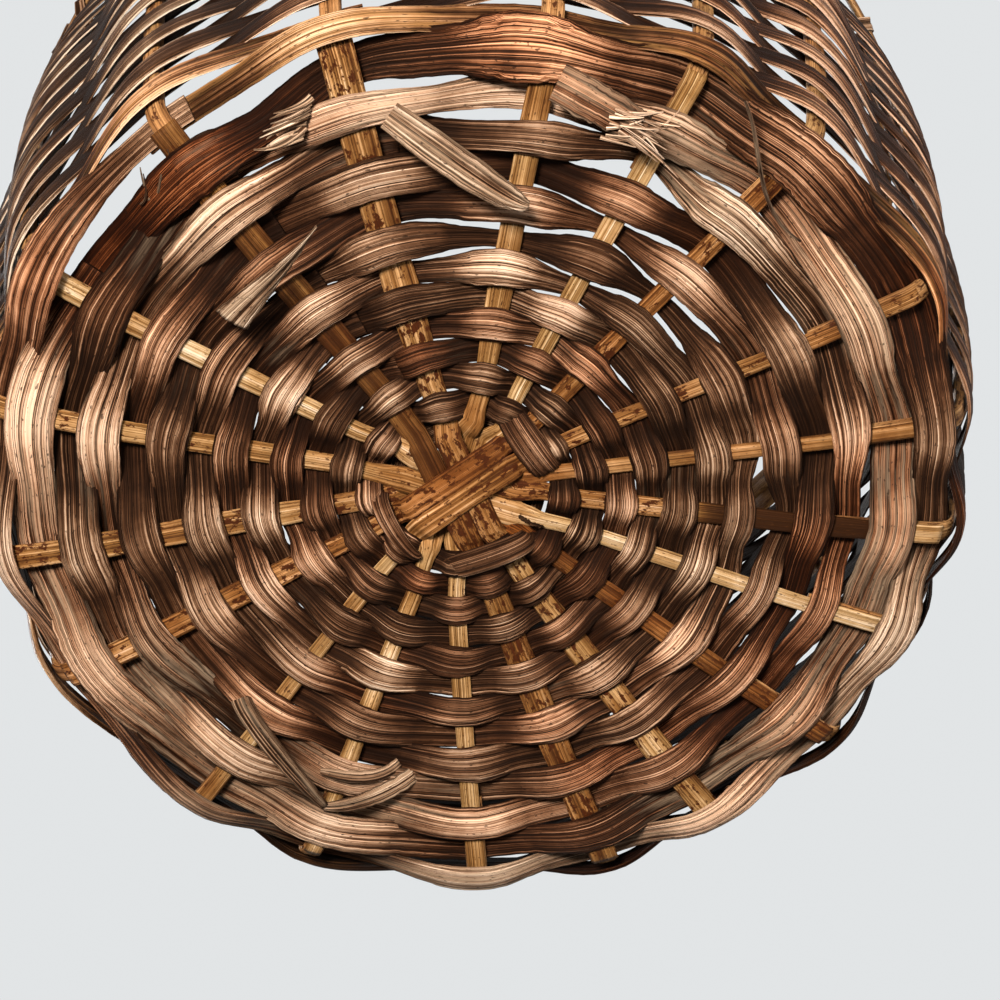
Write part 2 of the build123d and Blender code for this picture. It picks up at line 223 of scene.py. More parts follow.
def strip_material(name, shades, grain, crack_colour, cracks, mottle_colour, mottle_run, soft,
                   roughness, relief):
    """Split wood or bark: pale ridges and dark cracks along the fibres, stains, and mottled old skin.

    The mesh's look gives the tone (red), the warmth (green), the furrows (blue) and the mottling (alpha).
    """
    material = bpy.data.materials.new(name)
    material.use_nodes = True
    tree = material.node_tree
    shader = tree.nodes["Principled BSDF"]
    run = wired(tree, "ShaderNodeTexCoord", {}).outputs["UV"]
    place = wired(tree, "ShaderNodeTexCoord", {}).outputs["Object"]
    look = wired(tree, "ShaderNodeAttribute", {}, attribute_name="look")
    parts = wired(tree, "ShaderNodeSeparateColor", {"Color": look.outputs["Color"]})

    def noise(vector, stretch, detail, rough):
        stretched = wired(tree, "ShaderNodeMapping", {"Vector": vector, "Scale": stretch})
        return wired(tree, "ShaderNodeTexNoise", {"Vector": stretched.outputs[0], "Scale": 1.0,
                                                  "Detail": detail, "Roughness": rough}).outputs["Fac"]

    def sums(first, times, then):
        return wired(tree, "ShaderNodeMath", {0: first, 1: times, 2: then},
                     operation="MULTIPLY_ADD").outputs[0]

    def ranged(value, low, high, first, last):
        return wired(tree, "ShaderNodeMapRange", {"Value": value, "From Min": low, "From Max": high,
                                                  "To Min": first, "To Max": last}).outputs[0]

    def mixed(share, first, second, blend="MIX"):
        return wired(tree, "ShaderNodeMix", {"Factor": share, 6: first, 7: second},
                     data_type="RGBA", blend_type=blend).outputs[2]

    streaks = noise(run, (0.05, 9.0, 1), 2, 0.5)
    lines = noise(run, (0.03, 42.0, 1), 1, 0.5)
    fine = noise(run, (0.1, 110.0, 1), 2, 0.65)
    stain = noise(place, (42, 42, 42), 4, 0.65)
    shade = sums(streaks, 0.55 * grain, -1.15 * grain - 0.42)
    shade = sums(lines, 0.85 * grain, shade)
    shade = sums(fine, 0.9 * grain, shade)
    shade = sums(stain, 0.72, shade)
    shade = sums(parts.outputs["Blue"], 0.28, shade)
    shade = sums(parts.outputs["Red"], 1.0, shade)
    ramp = wired(tree, "ShaderNodeValToRGB", {"Fac": shade})
    for _ in shades[2:]:
        ramp.color_ramp.elements.new(0.5)
    for element, (position, colour) in zip(ramp.color_ramp.elements, shades):
        element.position = position
        element.color = (*colour, 1)
    warm = mixed(parts.outputs["Green"], ramp.outputs["Color"], (1.0, 0.5, 0.26, 1), "MULTIPLY")
    groove = ranged(lines, 0.37, 0.42, 1.0, 0.0)
    scratch = ranged(fine, 0.37, 0.43, 1.0, 0.0)
    crack = sums(ranged(parts.outputs["Blue"], 0.1, 0.28, 0.5, 0.0), 1.0, sums(scratch, 0.6, groove))
    worn = ranged(stain, 0.36, 0.62, cracks, cracks * 0.45)
    depth = wired(tree, "ShaderNodeMath", {0: crack, 1: worn}, operation="MULTIPLY",
                  use_clamp=True).outputs[0]
    cracked = mixed(depth, warm, (*crack_colour, 1))
    spots = noise(run, (mottle_run, 6.0, 1), 4, 0.68)
    spotted = sums(look.outputs["Alpha"], 0.22, spots)
    there = ranged(look.outputs["Alpha"], 0.0, 0.35, 0.0, 1.0)
    patches = ranged(spotted, 0.68 - soft, 0.68 + soft, 0.0, 1.0)
    skin = wired(tree, "ShaderNodeMath", {0: patches, 1: there}, operation="MULTIPLY").outputs[0]
    flecks = ranged(noise(run, (4.5, 17.0, 1), 1, 0.5), 0.66, 0.71, 0.0, 0.75)
    mottled = mixed(flecks, mixed(skin, cracked, (*mottle_colour, 1)), (*crack_colour, 1))
    tree.links.new(mottled, shader.inputs["Base Color"])
    tree.links.new(ranged(shade, 0.2, 0.8, roughness + 0.1, roughness - 0.1), shader.inputs["Roughness"])
    shader.inputs["Specular IOR Level"].default_value = 0.07
    shader.inputs["Specular Tint"].default_value = (1.0, 0.8, 0.62, 1)
    height = sums(crack, -0.7, sums(streaks, 1.2, sums(fine, 0.5, 0.0)))
    bump = wired(tree, "ShaderNodeBump", {"Height": height, "Strength": 1.0, "Distance": relief * mm})
    tree.links.new(bump.outputs[0], shader.inputs["Normal"])
    return material


cross_angles = [103, 120, 136.5, 153, 169, 185, 202, 219.5, 237.5, 256,
                275, 292.5, 314, 333.5, 354, 375, 395, 416.5, 437]
edge_angles = [98.8, 116, 131.5, 154.5, 172, 187, 201.3, 219, 237.5, 253,
               270, 292, 308.3, 333, 350.8, 371, 389.3, 412.5, 434.5]
spoke_count = len(edge_angles)
fan_radius = 24.0
crossing_radius = 18.0
middle_evening = 0.6
spoke_end = 151.0
layer_step = 1.05
spoke_drop = (stack - split_thickness) / 2
foot_blend_start = 78.0
foot_start = 117.0
split_step = 1.5
clear_width = 6.2
beside_until, in_line_at = 22.0, 40.0
slimmed_at, widened_at = 30.0, 75.0
bridge_points = 20
# Each whole split: the two spokes that it makes and its layer in the crossing, from the outside in
split_pairs = [(2, 13, -2), (3, 12, -2), (17, 9, -1), (18, 8, -1), (16, 5, 0),
               (15, 6, 0), (4, 14, 1), (0, 11, 2), (1, 10, 2)]
# This one shares its layer with the half split, and makes no room for it
lone_split = (4, 14)
# Each spoke: its width in the middle, beyond it and at the edge, how pale, how reddish and how mottled
spoke_looks = [
    (9.0, 6.2, 7.6, 0.42, 0.15, 0.1), (9.0, 5.4, 6.6, 0.44, 0.0, 0.1), (8.4, 6.6, 6.6, 0.38, 0.4, 0.6),
    (8.2, 6.0, 5.8, 0.40, 0.3, 0.5), (9.0, 5.4, 5.4, 0.40, 0.3, 0.2), (9.0, 6.4, 7.2, -0.2, 0.0, 0.0),
    (9.0, 5.4, 5.8, 0.64, 0.0, 0.2), (7.8, 6.2, 7.4, 0.28, 0.5, 0.5), (8.6, 7.4, 9.2, 0.40, 0.1, 0.6),
    (8.6, 7.6, 10.2, 0.34, 0.25, 0.6), (9.0, 5.8, 6.2, 0.44, 0.05, 0.2), (9.0, 5.6, 6.2, 0.48, 0.05, 0.1),
    (8.2, 5.6, 5.8, 0.46, 0.1, 0.2), (8.4, 7.0, 8.6, 0.38, 0.4, 0.55), (9.0, 7.0, 9.0, 0.38, 0.2, 0.55),
    (9.0, 6.2, 7.2, 0.44, 0.15, 0.3), (9.0, 6.2, 7.2, 0.60, 0.05, 0.2), (8.6, 8.0, 10.2, 0.17, 0.2, 0.2),
    (8.6, 8.0, 10.8, 0.38, 0.2, 0.6)]
half_black_spoke = 5
even_step = 360 / spoke_count
even_start = np.mean([angle - k * even_step for k, angle in enumerate(cross_angles)])


def spoke_angle(k, r):
    """Direction from the middle in which spoke k crosses the circle of radius r: it runs straight."""
    first, last = radians(cross_angles[k]), radians(edge_angles[k])
    start = np.array([cos(first), sin(first)]) * fan_radius
    run = np.array([cos(last), sin(last)]) * base_flat_radius - start
    reach = np.clip(r, fan_radius, base_flat_radius)
    a, b, c = run @ run, 2 * start @ run, fan_radius**2 - reach**2
    share = (-b + np.sqrt(np.maximum(b * b - 4 * a * c, 0))) / (2 * a)
    angle = np.degrees(np.arctan2(start[1] + run[1] * share, start[0] + run[0] * share))
    angle = angle + 360 * np.round((edge_angles[k] - angle) / 360)
    evened = np.clip((fan_radius - r) / (fan_radius - crossing_radius), 0, 1) * middle_evening
    return angle + evened * (even_start + k * even_step - cross_angles[k])


def room_for_foot(s):
    """How far a spoke has sunk to make room for a stake's foot, from 0 to 1."""
    return np.clip((s - foot_blend_start) / (foot_start - foot_blend_start), 0, 1)


def half_of_split(k, layer, beside=0):
    """Spoke k from near the middle outwards: points, distances and looks. Pairs make room for each other."""
    s = np.arange(crossing_radius, spoke_end + 0.1, split_step)
    drop = spoke_drop * room_for_foot(s)
    spread = (spoke_looks[k][0] - clear_width) / 2 * (1 - smooth(s, beside_until, in_line_at))
    points = on_shape(s, spoke_angle(k, meridian(s)[0]) - beside * np.degrees(spread / s), -drop)
    points[:, 2] += layer * layer_step * (1 - smooth(s, crossing_radius, crossing_radius + 4))
    middle, inner, outer, tone, warmth, mottle = spoke_looks[k]
    width = middle + (inner - middle) * smooth(s, crossing_radius, slimmed_at)
    width = width + (outer - inner) * smooth(s, slimmed_at, widened_at)
    looks = np.outer([tone, warmth, mottle], np.ones(len(s)))
    looks += np.outer([-0.05, 0.14, 0.12], 1 - smooth(s, 22, 34))
    if k == half_black_spoke:
        looks += np.outer([0.66, 0.3, 0.6], 1 - smooth(s, 70, 84))
        looks += np.outer([0.8, 0.1, 0], smooth(s, 132, 138))
    return points, s, width, looks


bamboo = strip_material(
    "split_bamboo",
    shades=[(0.0, (0.022, 0.007, 0.002)), (0.25, (0.07, 0.026, 0.007)), (0.48, (0.2, 0.095, 0.027)),
            (0.7, (0.43, 0.26, 0.115)), (1.0, (0.82, 0.65, 0.48))],
    grain=0.65, crack_colour=(0.045, 0.015, 0.004), cracks=0.35, mottle_colour=(0.045, 0.011, 0.003),
    mottle_run=2.4, soft=0.02, roughness=0.38, relief=0.25)
half_spoke, half_layer, half_start = 7, 1, 10.0
inner_points = 10
for number, (k, opposite, layer) in enumerate(split_pairs + [(half_spoke, None, half_layer)], start=1):
    pair = [(a, b) for a, b, level in split_pairs if level == layer and a != k and (a, b) != lone_split]
    beside, other_beside = (pair[0][0] - k, pair[0][1] - opposite) if pair and opposite else (0, 0)
    points, s, width, looks = half_of_split(k, layer, beside)
    if opposite is None:
        name = "base_split_half"
        inner = np.linspace(half_start, crossing_radius - split_step, inner_points)
        turned = radians(cross_angles[k])
        z = points[0, 2]
        plan = [[q * cos(turned) + middle_drift[0], q * sin(turned) + middle_drift[1], z] for q in inner]
        points = np.concatenate([plan, points])
        s = np.concatenate([inner, s])
        width = np.concatenate([np.full(inner_points, width[0]), width])
        looks = np.concatenate([np.repeat(looks[:, :1], inner_points, axis=1), looks], axis=1)
    else:
        name = f"base_split_{number}"
        far_points, far_s, far_width, far_looks = half_of_split(opposite, layer, other_beside)
        between = np.linspace(0, 1, bridge_points + 2)[1:-1]
        bridge = np.outer(1 - between, far_points[0]) + np.outer(between, points[0])
        width_there = far_width[0] + (width[0] - far_width[0]) * between
        looks_there = far_looks[:, :1] + (looks[:, :1] - far_looks[:, :1]) * between
        width = np.concatenate([far_width[::-1], width_there, width])
        looks = np.concatenate([far_looks[:, ::-1], looks_there, looks], axis=1)
        s = np.concatenate([far_s[::-1], np.full(bridge_points, crossing_radius), s])
        points = np.concatenate([far_points[::-1], bridge, points])
    tone, warmth, mottle = looks
    rng = np.random.default_rng([7, number])
    along = np.arange(len(points)) * split_step
    up = np.tile([0.0, 0.0, 1.0], (len(points), 1))
    turned = np.arctan2(points[:, 1], points[:, 0])
    bent = s > base_flat_radius
    up[bent] = inward(s, np.degrees(turned))[bent]
    run = {"centre": points, "normal": up, "width": width * (1 + 0.05 * wander(rng, along, 40)),
           "thickness": split_thickness, "camber": -0.16, "twist": 0.02 * wander(rng, along, 60),
           "tone": tone + 0.08 * wander(rng, along, 50), "furrow": 0.06, "edge": -0.1,
           "warmth": np.clip(warmth + 0.1 * wander(rng, along, 45), 0, 1),
           "mottle": np.clip(mottle + 0.25 * wander(rng, along, 30), 0, 1)}
    split = bend_strips(name, [run], bamboo, around=24, tube_seed=100 + number)
    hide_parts(name)

# Base weavers: flat strips of dark vine bark, woven outside one spoke and inside the next in one spiral
# of twelve and a half rounds. Where they pass outside a spoke they belly out, furrowed along their fibres,
# and each new strip is tucked in over the end of the last.
side_clearance = 0.7
first_row_radius = 31.0
first_row_pitch = 8.4
wall_row_pitch = 9.0
row_gap = 0.9
base_rounds = 12
last_base_row = base_flat_radius + corner_radius
pitch_growth = (last_base_row - first_row_radius - base_rounds * first_row_pitch) / base_rounds**2
stake_width = 7.0
stake_thickness = 4.0
border_thickness = 1.5
end_tuck = 5.0
longest_tuck = 0.8
settled_part = 0.7
pulled_straight = 0.7
steady_from = 138.0
visible_thickness = 1.1
full_stake_at = 170.0
base_breaks = [-12, 36, 74, 112, 150, 170, 188, 206, 226]
# Where the strip is thin and lets light through: at which step, times as wide, moved out by (mm)
slack = [(94.2, 0.75, -1.0), (96, 0.58, -1.6), (112, 0.55, -1.8), (114, 0.55, -1.9), (116, 0.58, -1.6),
         (134, 0.52, -1.0), (138, 0.8, 1.0), (152.5, 0.85, 0.0), (170.8, 0.75, -1.4), (172, 0.55, 1.9),
         (189.2, 0.75, -1.6)]
# Stretches that stand out: first and last step, paler by, redder by, times as wide, moved out, mottled by
accents = [(step - 0.3, step + 0.3, 0.0, 0.0, narrower, moved, 0) for step, narrower, moved in slack]
accents += [
    (-12, -7, -0.06, 0.0, 1.0, 0.0, 0), (-5.2, -4.8, -0.2, 0.1, 1.0, 0.0, 0),
    (57, 60, 0.12, 0.1, 1.0, 0.0, 0.055), (100, 104, 0.1, 0.0, 1.0, 0.0, 0.11),
    (118.2, 120.2, 0.0, 0.0, 0.8, -1.4, 0), (119, 123, 0.12, 0.0, 1.05, 0.0, 0.17),
    (133, 137, 0.12, 0.1, 1.0, 0.0, 0.055), (137.6, 139.4, 0.0, 0.0, 0.84, 1.2, 0),
    (138, 141, -0.1, 0.0, 1.0, 0.0, 0), (152, 156, -0.12, 0.0, 1.0, 0.0, 0),
    (157, 161, 0.12, 0.35, 0.85, -0.5, 0), (162, 166, 0.08, 0.0, 1.0, 0.0, 0.28),
    (166.5, 170, 0.14, 0.0, 1.0, 0.0, 0.22), (171, 174, 0.14, 0.0, 1.0, 0.0, 0.28),
    (175, 178.5, 0.12, 0.5, 0.72, -1.5, 0), (181, 184.5, 0.1, 0.0, 1.0, 0.0, 0.28),
    (184.5, 187.5, -0.1, 0.0, 1.05, -2.5, 0.11), (187.8, 190.3, 0.2, -0.1, 0.95, 0.0, 0.33),
    (191, 194.5, 0.14, 0.0, 1.05, 0.0, 0.39), (194.5, 198.5, 0.05, 0.0, 1.1, 0.0, 0.44),
    (200.5, 205.5, 0.2, 0.0, 1.1, 0.0, 0.39), (205.8, 207.7, -0.04, 0.5, 1.05, -6.5, 0),
    (208.5, 212.5, -0.03, 0.32, 1.35, 1.6, 0), (212.6, 214.2, -0.16, 0.0, 1.0, 0.0, 0),
    (214.5, 219.5, 0.16, 0.0, 0.95, 0.0, 0.5), (220, 223.5, 0.08, 0.1, 1.0, 0.0, 0.28),
    (223.8, 225.2, 0.0, 0.0, 1.4, -3.2, 0), (225.9, 227.5, 0.14, -0.1, 0.85, -1.2, 0.11),
    (231, 238, 0.12, 0.45, 0.85, -0.5, 0)]


def row_distance(i):
    """Distance along the woven shape at step i of the spiral, one step to each spoke."""
    rounds = np.asarray(i, float) / spoke_count
    on_base = first_row_radius + first_row_pitch * rounds + pitch_growth * rounds**2
    return np.where(rounds <= base_rounds, on_base, last_base_row + wall_row_pitch * (rounds - base_rounds))


def row_width(i):
    """Width that the rows on either side leave for the strip at step i."""
    s = row_distance(i)
    pitch = np.minimum(row_distance(i + spoke_count) - s, s - row_distance(i - spoke_count))
    return pitch - row_gap


def full_stake(s):
    """How far a stake has grown from its thinned foot to its full section, from 0 to 1."""
    return np.clip((s - spoke_end) / (full_stake_at - spoke_end), 0, 1)


def passed_thickness(s):
    """Thickness of what a weaver passes: a split, then a split with a stake's foot, then a stake."""
    on_base = split_thickness + (stack - split_thickness) * room_for_foot(s)
    return on_base + (stake_thickness - stack) * full_stake(s)


def swing(i, thickness):
    """How far the strip's middle stands off the woven shape at step i: outside where i is odd."""
    s = row_distance(i)
    lift = (passed_thickness(s) + thickness) / 2 + weave_clearance
    if i % 2:
        return -lift
    half = row_width(i) / 2
    in_corner = smooth(s, base_flat_radius - 3, base_flat_radius + 3)
    in_corner *= 1 - smooth(s, corner_end, corner_end + 4)
    return lift + in_corner * half**2 / (2 * (corner_radius - border_thickness))


def woven_run(first, last, thickness, lies_on=weaver_thickness, spacing=2.0, seed=0):
    """The run of one strip from step first to step last of the spiral: arrays along it."""
    steps, angles, offsets, outside = [], [], [], []
    passed = {}
    for i in range(first - 1, last + 2):
        k, rounds = i % spoke_count, i // spoke_count
        s = float(row_distance(i))
        r = float(meridian(s)[0])
        angle = float(spoke_angle(k, r)) + 360 * rounds
        warp = spoke_looks[k][2] if s < base_flat_radius else stake_width
        half = np.degrees((warp / 2 + side_clearance) / r)
        lift = swing(i, thickness)
        if i == first and i > base_breaks[0]:
            lift += lies_on + weave_clearance
        passed[i] = angle, half, lift, r
    for i in range(first - 1, last + 1):
        angle, half, lift, r = passed[i]
        after, after_half, after_lift, _ = passed[i + 1]
        parts = max(int(radians(after - angle) * r / spacing), 3)
        share = np.arange(parts) / parts
        there = angle + share * (after - angle)
        go = smooth(there, angle + half * settled_part, after - after_half * settled_part)
        steps.append(i + share)
        angles.append(there)
        offsets.append(lift + (after_lift - lift) * go)
        outside.append(np.cos(pi * share) * (1 if i % 2 else -1))
    steps, angles = np.concatenate(steps), np.concatenate(angles)
    offsets, outside = np.concatenate(offsets), np.concatenate(outside)

    def tucked(i, neighbour):
        angle, half, _, r = passed[i]
        reach = (half + np.degrees(end_tuck / r)) / abs(passed[neighbour][0] - angle)
        return min(reach, longest_tuck)

    keep = (steps > first - tucked(first, first - 1)) & (steps < last + tucked(last, last + 1))
    steps, angles, offsets, outside = steps[keep], angles[keep], offsets[keep], outside[keep]
    share = steps % 1
    sag = pulled_straight * (1 - cos(pi / spoke_count))
    chord = 1 - sag * (0.5 - 0.5 * np.cos(2 * pi * share))
    s = row_distance(steps)
    rng = np.random.default_rng([21, seed])
    along = np.concatenate([[0], np.cumsum(np.radians(np.diff(angles)) * meridian(s)[0][1:])])
    crest, trough = np.clip(outside, 0, 1), np.clip(-outside, 0, 1)
    on_wall = smooth(s, base_flat_radius, full_stake_at)
    paler, redder, wider, moved, mottle = np.zeros((5, len(s)))
    for start, stop, *amounts in accents:
        share = smooth(steps, start - 0.5, start + 0.3) * (1 - smooth(steps, stop - 0.3, stop + 0.5))
        for total, amount in zip((paler, redder, wider, moved, mottle), np.array(amounts) - (0, 0, 1, 0, 0)):
            total += share * amount
    mottle -= 0.1
    s = s + moved + 0.7 * wander(rng, along, 110) * (1 - smooth(s, steady_from, base_flat_radius))
    swell = 1.04 + 0.16 * on_wall + (0.18 * crest + 0.06 * trough) * (1 - on_wall)
    width = (row_width(steps) + row_gap) * swell
    width *= (1 + wider) * (1 + 0.1 * wander(rng, along, 50))
    rough_edge = 1 + 0.02 * wander(np.random.default_rng([23, seed]), along, 6)
    # Each petal, where the strip bellies out over a spoke, has a tone and a warmth of its own
    crossings = np.arange(first - 1, last + 3)
    petal_tone = np.interp(steps, crossings, rng.normal(0, 0.1, len(crossings)))
    petal_warmth = np.interp(steps, crossings, rng.normal(0, 0.14, len(crossings)))
    centre = on_shape(s, angles, offsets)
    centre[:, :2] *= chord[:, None]
    return {"centre": centre, "normal": inward(s, angles), "angles": angles, "width": width * rough_edge,
            "thickness": thickness * visible_thickness, "camber": 0.4 * trough - crest,
            "twist": 0.08 * wander(rng, along, 80),
            # Tone: paler on each petal's crest, darker where the strip dives under a spoke; partly rubbed
            # wear, partly painted highlight and shade
            "tone": petal_tone + paler + 0.34 * crest - 0.17 + 0.06 * wander(rng, along, 160),
            "warmth": np.clip(0.1 + petal_warmth + redder + 0.15 * wander(rng, along, 260), 0, 1),
            # Edges: darkened on the base as painted shade where the strip curves away, paler on the wall
            # where they are rubbed
            "furrow": 0.36 - 0.2 * smooth(s, 60, 120), "edge": 1.1 * on_wall - 0.3,
            "mottle": np.clip(mottle + 0.15 * wander(rng, along, 60), -0.2, 1)}


vine = strip_material(
    "vine_bark",
    shades=[(0.0, (0.007, 0.0022, 0.0008)), (0.24, (0.02, 0.0075, 0.003)), (0.44, (0.078, 0.034, 0.015)),
            (0.62, (0.25, 0.142, 0.08)), (0.8, (0.52, 0.355, 0.235)), (1.0, (0.82, 0.65, 0.49))],
    grain=1.25, crack_colour=(0.008, 0.0028, 0.0012), cracks=0.95, mottle_colour=(0.4, 0.27, 0.17),
    mottle_run=0.22, soft=0.16, roughness=0.52, relief=0.55)
loose_points = 30


def loose_strip(points, widths, tone, warmth, seed, turn=0.0, thickness=0.9, rough=0.05):
    """The run of a torn end that has sprung loose: a smooth line near these points, in millimetres."""
    t = np.linspace(0, 1, loose_points)
    through = np.linspace(0, 1, len(points))
    power = min(3, len(points) - 1)
    bends = np.polyfit(through, np.array(points, float), power)
    centre = sum(np.outer(t ** (power - n), bend) for n, bend in enumerate(bends))
    rng = np.random.default_rng([77, seed])
    width = np.interp(t, np.linspace(0, 1, len(widths)), widths)
    return {"centre": centre, "normal": (0.0, 0.0, 1.0),
            "width": width * (1 + rough * rng.normal(size=loose_points) * t), "thickness": thickness,
            "camber": -0.07 * width, "twist": turn * t, "tone": tone + 0.05 * wander(rng, 60 * t, 40),
            "warmth": warmth, "furrow": 0.25, "mottle": 0.3, "edge": -0.2}


# Ends that have broken and sprung loose: a folded one, a curled one, a frayed one, and single fibres
fold = [(24.6, 124.6, -3.2), (12.8, 116.4, -5.6), (0.8, 107.6, -6.8), (-9.8, 100.8, -7.2),
        (-16.2, 97.6, -6.4)]
curl = [(73.5, 59.8, -2.6), (67.9, 66.9, -5.0), (61.1, 74.6, -6.6), (53.6, 83.2, -8.0),
        (46.4, 93.2, -11.0)]
fray = [(-24.6, 134.2, -2.6), (-33.6, 129.6, -4.4), (-42.8, 124.6, -5.6), (-50.4, 120.8, -6.2)]
fibre_rng = np.random.default_rng(88)
fringe = []
# The frayed end's fibres, the slivers of a torn end, and a few hairs
for n in range(24):
    start = np.array([-43.0, 124.0, -7.2]) + fibre_rng.normal(size=3) * (3.0, 4.0, 0.4)
    ahead = np.array([-13.0, -4.0, -1.5]) * fibre_rng.uniform(0.5, 1.2)
    bow = fibre_rng.normal(size=3) * (1.5, 4.5, 1.5)
    fringe.append(loose_strip([start, start + ahead * 0.5 + bow * 0.4, start + ahead + bow],
                              [fibre_rng.uniform(0.6, 1.6), 0.8, 0.3], 0.7, 0.2, 900 + n, thickness=0.35))
for n in range(9):
    side = n / 8
    start = np.array([47.0 + 3.0 * side, 129.5 - 12.0 * side, -0.9])
    ahead = np.array([15.0 - 1.0 * side, -6.0, -1.6]) * fibre_rng.uniform(0.6, 1.15)
    bow = fibre_rng.normal(size=3) * (0.8, 0.9, 0.3) + (0, 0, -1.0)
    fringe.append(loose_strip([start, start + ahead * 0.5 + bow, start + ahead],
                              [2.6, 2.1, 1.3, 0.3], 0.5, 0.0, 970 + n, thickness=0.6))
hairs = []
for n in range(7):
    start = np.array([99.0 - 2.6 * n, 96.0 + 1.4 * n, 0.5])
    ahead = fibre_rng.normal(size=3) * (1.5, 2.5, 0.5) + (-1.0, 11.0, 0.5)
    hairs.append(loose_strip([start, start + ahead * 0.5 + fibre_rng.normal(size=3), start + ahead],
                             [1.1, 0.8, 0.3], 0.0, 0.1, 930 + n, thickness=0.5))
strand = loose_strip([(-79.3, 128.5, -4.2), (-83.4, 113.5, -5.6), (-87.4, 97.9, -5.6), (-97.8, 84.8, -4.2)],
                     [1.0, 1.4, 1.2, 0.8], 0.1, 0.5, 950, thickness=0.6)
# A strip that broke where it was bent too sharply, and lies over its neighbours
kinked = [loose_strip([(77.4, -77.0, 1.5), (72.0, -87.0, -1.4), (62.0, -102.5, -1.9), (50.9, -117.5, -2.2)],
                      [7.0, 6.8, 6.6, 5.6, 3.0], 0.3, 0.0, 981, thickness=0.8),
          loose_strip([(51.3, -117.9, -1.6), (43.1, -116.9, -2.2), (32.1, -113.2, -1.5), (21.0, -109.0, 4.0)],
                      [3.0, 5.6, 6.4, 6.0], 0.46, 0.05, 982, thickness=0.8),
          loose_strip([(52.0, -104.0, -1.3), (46.0, -105.2, -2.0), (36.0, -106.4, -1.4), (26.0, -104.6, 4.0)],
                      [2.4, 4.4, 5.0, 4.6], 0.5, 0.1, 983, thickness=0.8)]
# The first strip starts with a turn and a half behind the crossing
turn_points = 130
turn_angles = np.linspace(-60, 500, turn_points)
turn_s = np.linspace(17.5, 27.0, turn_points)
wound = {"centre": on_shape(turn_s, turn_angles, np.linspace(4.2, 3.6, turn_points)),
         "normal": inward(turn_s, turn_angles), "width": 11.5, "thickness": 0.8, "camber": 0.0,
         "twist": 0.06, "tone": 0.2, "warmth": 0.1, "furrow": 0.1, "mottle": 0.0, "edge": -0.1}
# Over the ends of the top pair of splits: a wide strip wound over one, and a curled bit over the other.
# Another wide strip lies over the lower two spokes.
over_pair = loose_strip([(-11.3, 22.6, 7.6), (-13.4, 19.4, 5.2), (-17.7, 12.7, 4.2), (-21.6, 6.6, 5.2),
                         (-23.6, 3.4, 7.6)], [9.5, 10.5, 11.0, 10.5, 9.5], 0.12, 0.3, 984, rough=0.0)
curled_bit = loose_strip([(30.6, -4.0, 6.5), (29.0, -9.5, 4.0), (25.3, -18.4, 3.3), (20.6, -23.8, 4.0),
                          (17.9, -26.6, 6.0)], [6.0, 6.2, 5.6, 4.4, 3.0], 0.08, 0.3, 985, rough=0.0)
over_lower = loose_strip([(7.2, -31.8, 7.0), (3.6, -29.1, 4.6), (-5.7, -25.9, 3.3), (-14.1, -21.8, 4.4),
                          (-17.7, -19.9, 7.0)], [8.0, 9.2, 9.6, 8.6, 7.4], 0.1, 0.2, 986, rough=0.0)
for strip in (over_pair, curled_bit, over_lower):
    arch = np.sin(np.linspace(0, pi, loose_points))
    # Paler where each strip arches out and darker towards its ends where it dives in: partly rubbed wear,
    # partly painted shade
    strip["tone"] += 0.24 * arch
    strip["camber"] *= 1 + 0.7 * arch
    strip["furrow"] += 0.15
    strip["mottle"] -= 0.5
loose_ends = {1: [wound, over_pair, curled_bit, over_lower],
              4: [loose_strip(curl, [11.0, 9.5, 7.0, 4.0, 0.3], 0.5, 0.0, 960, turn=0.9)],
              6: kinked,
              7: [loose_strip(fold, [9.0, 10.5, 10.0, 8.5, 3.0], 0.5, 0.05, 961),
                  loose_strip(fray, [12.0, 12.5, 11.5, 9.0], 0.34, 0.5, 962)] + fringe,
              8: [strand] + hairs}
# Each strip of the base: how pale and how reddish it is
base_tones = [(0.25, 0.1), (0.26, 0.15), (0.26, 0.1), (0.29, 0.15), (0.29, 0.15), (0.32, 0.1),
              (0.34, 0.2), (0.36, 0.15)]
for number, (first, last) in enumerate(zip(base_breaks, base_breaks[1:]), start=1):
    run = woven_run(first, last, weaver_thickness, spacing=1.8, seed=number)
    tone, warmth = base_tones[number - 1]
    run["tone"] += tone
    run["warmth"] = np.clip(run["warmth"] + warmth, 0, 1)
    runs = [run] + loose_ends.get(number, [])
    weaver = bend_strips(f"base_weaver_{number}", runs, vine, around=52, tube_seed=200 + number)
    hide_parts(f"base_weaver_{number}")

# Border band: one stouter strip that turns the corner from base to wall. It is split from a thicker
# stem with its smooth skin left on, so that it's stiffer and redder than the rest.
border_end = 246
skinned_vine = strip_material(
    "border_skin",
    shades=[(0.0, (0.007, 0.0022, 0.0008)), (0.24, (0.024, 0.009, 0.003)), (0.44, (0.1, 0.042, 0.016)),
            (0.62, (0.3, 0.165, 0.08)), (0.8, (0.52, 0.345, 0.2)), (1.0, (0.82, 0.64, 0.44))],
    grain=0.85, crack_colour=(0.008, 0.0028, 0.0012), cracks=0.6, mottle_colour=(0.4, 0.19, 0.06),
    mottle_run=0.16, soft=0.14, roughness=0.4, relief=0.4)


def painted_shade_side(run, until):
    """Where a strip lies on the side of the basket away from the window lamp, from 0 to 1: a mask for painted
    shade.
    """
    direction = run["angles"] % 360
    return smooth(direction, 165, 190) * (1 - smooth(direction, until, until + 30))


run = woven_run(base_breaks[-1], border_end, border_thickness, spacing=1.8, seed=31)
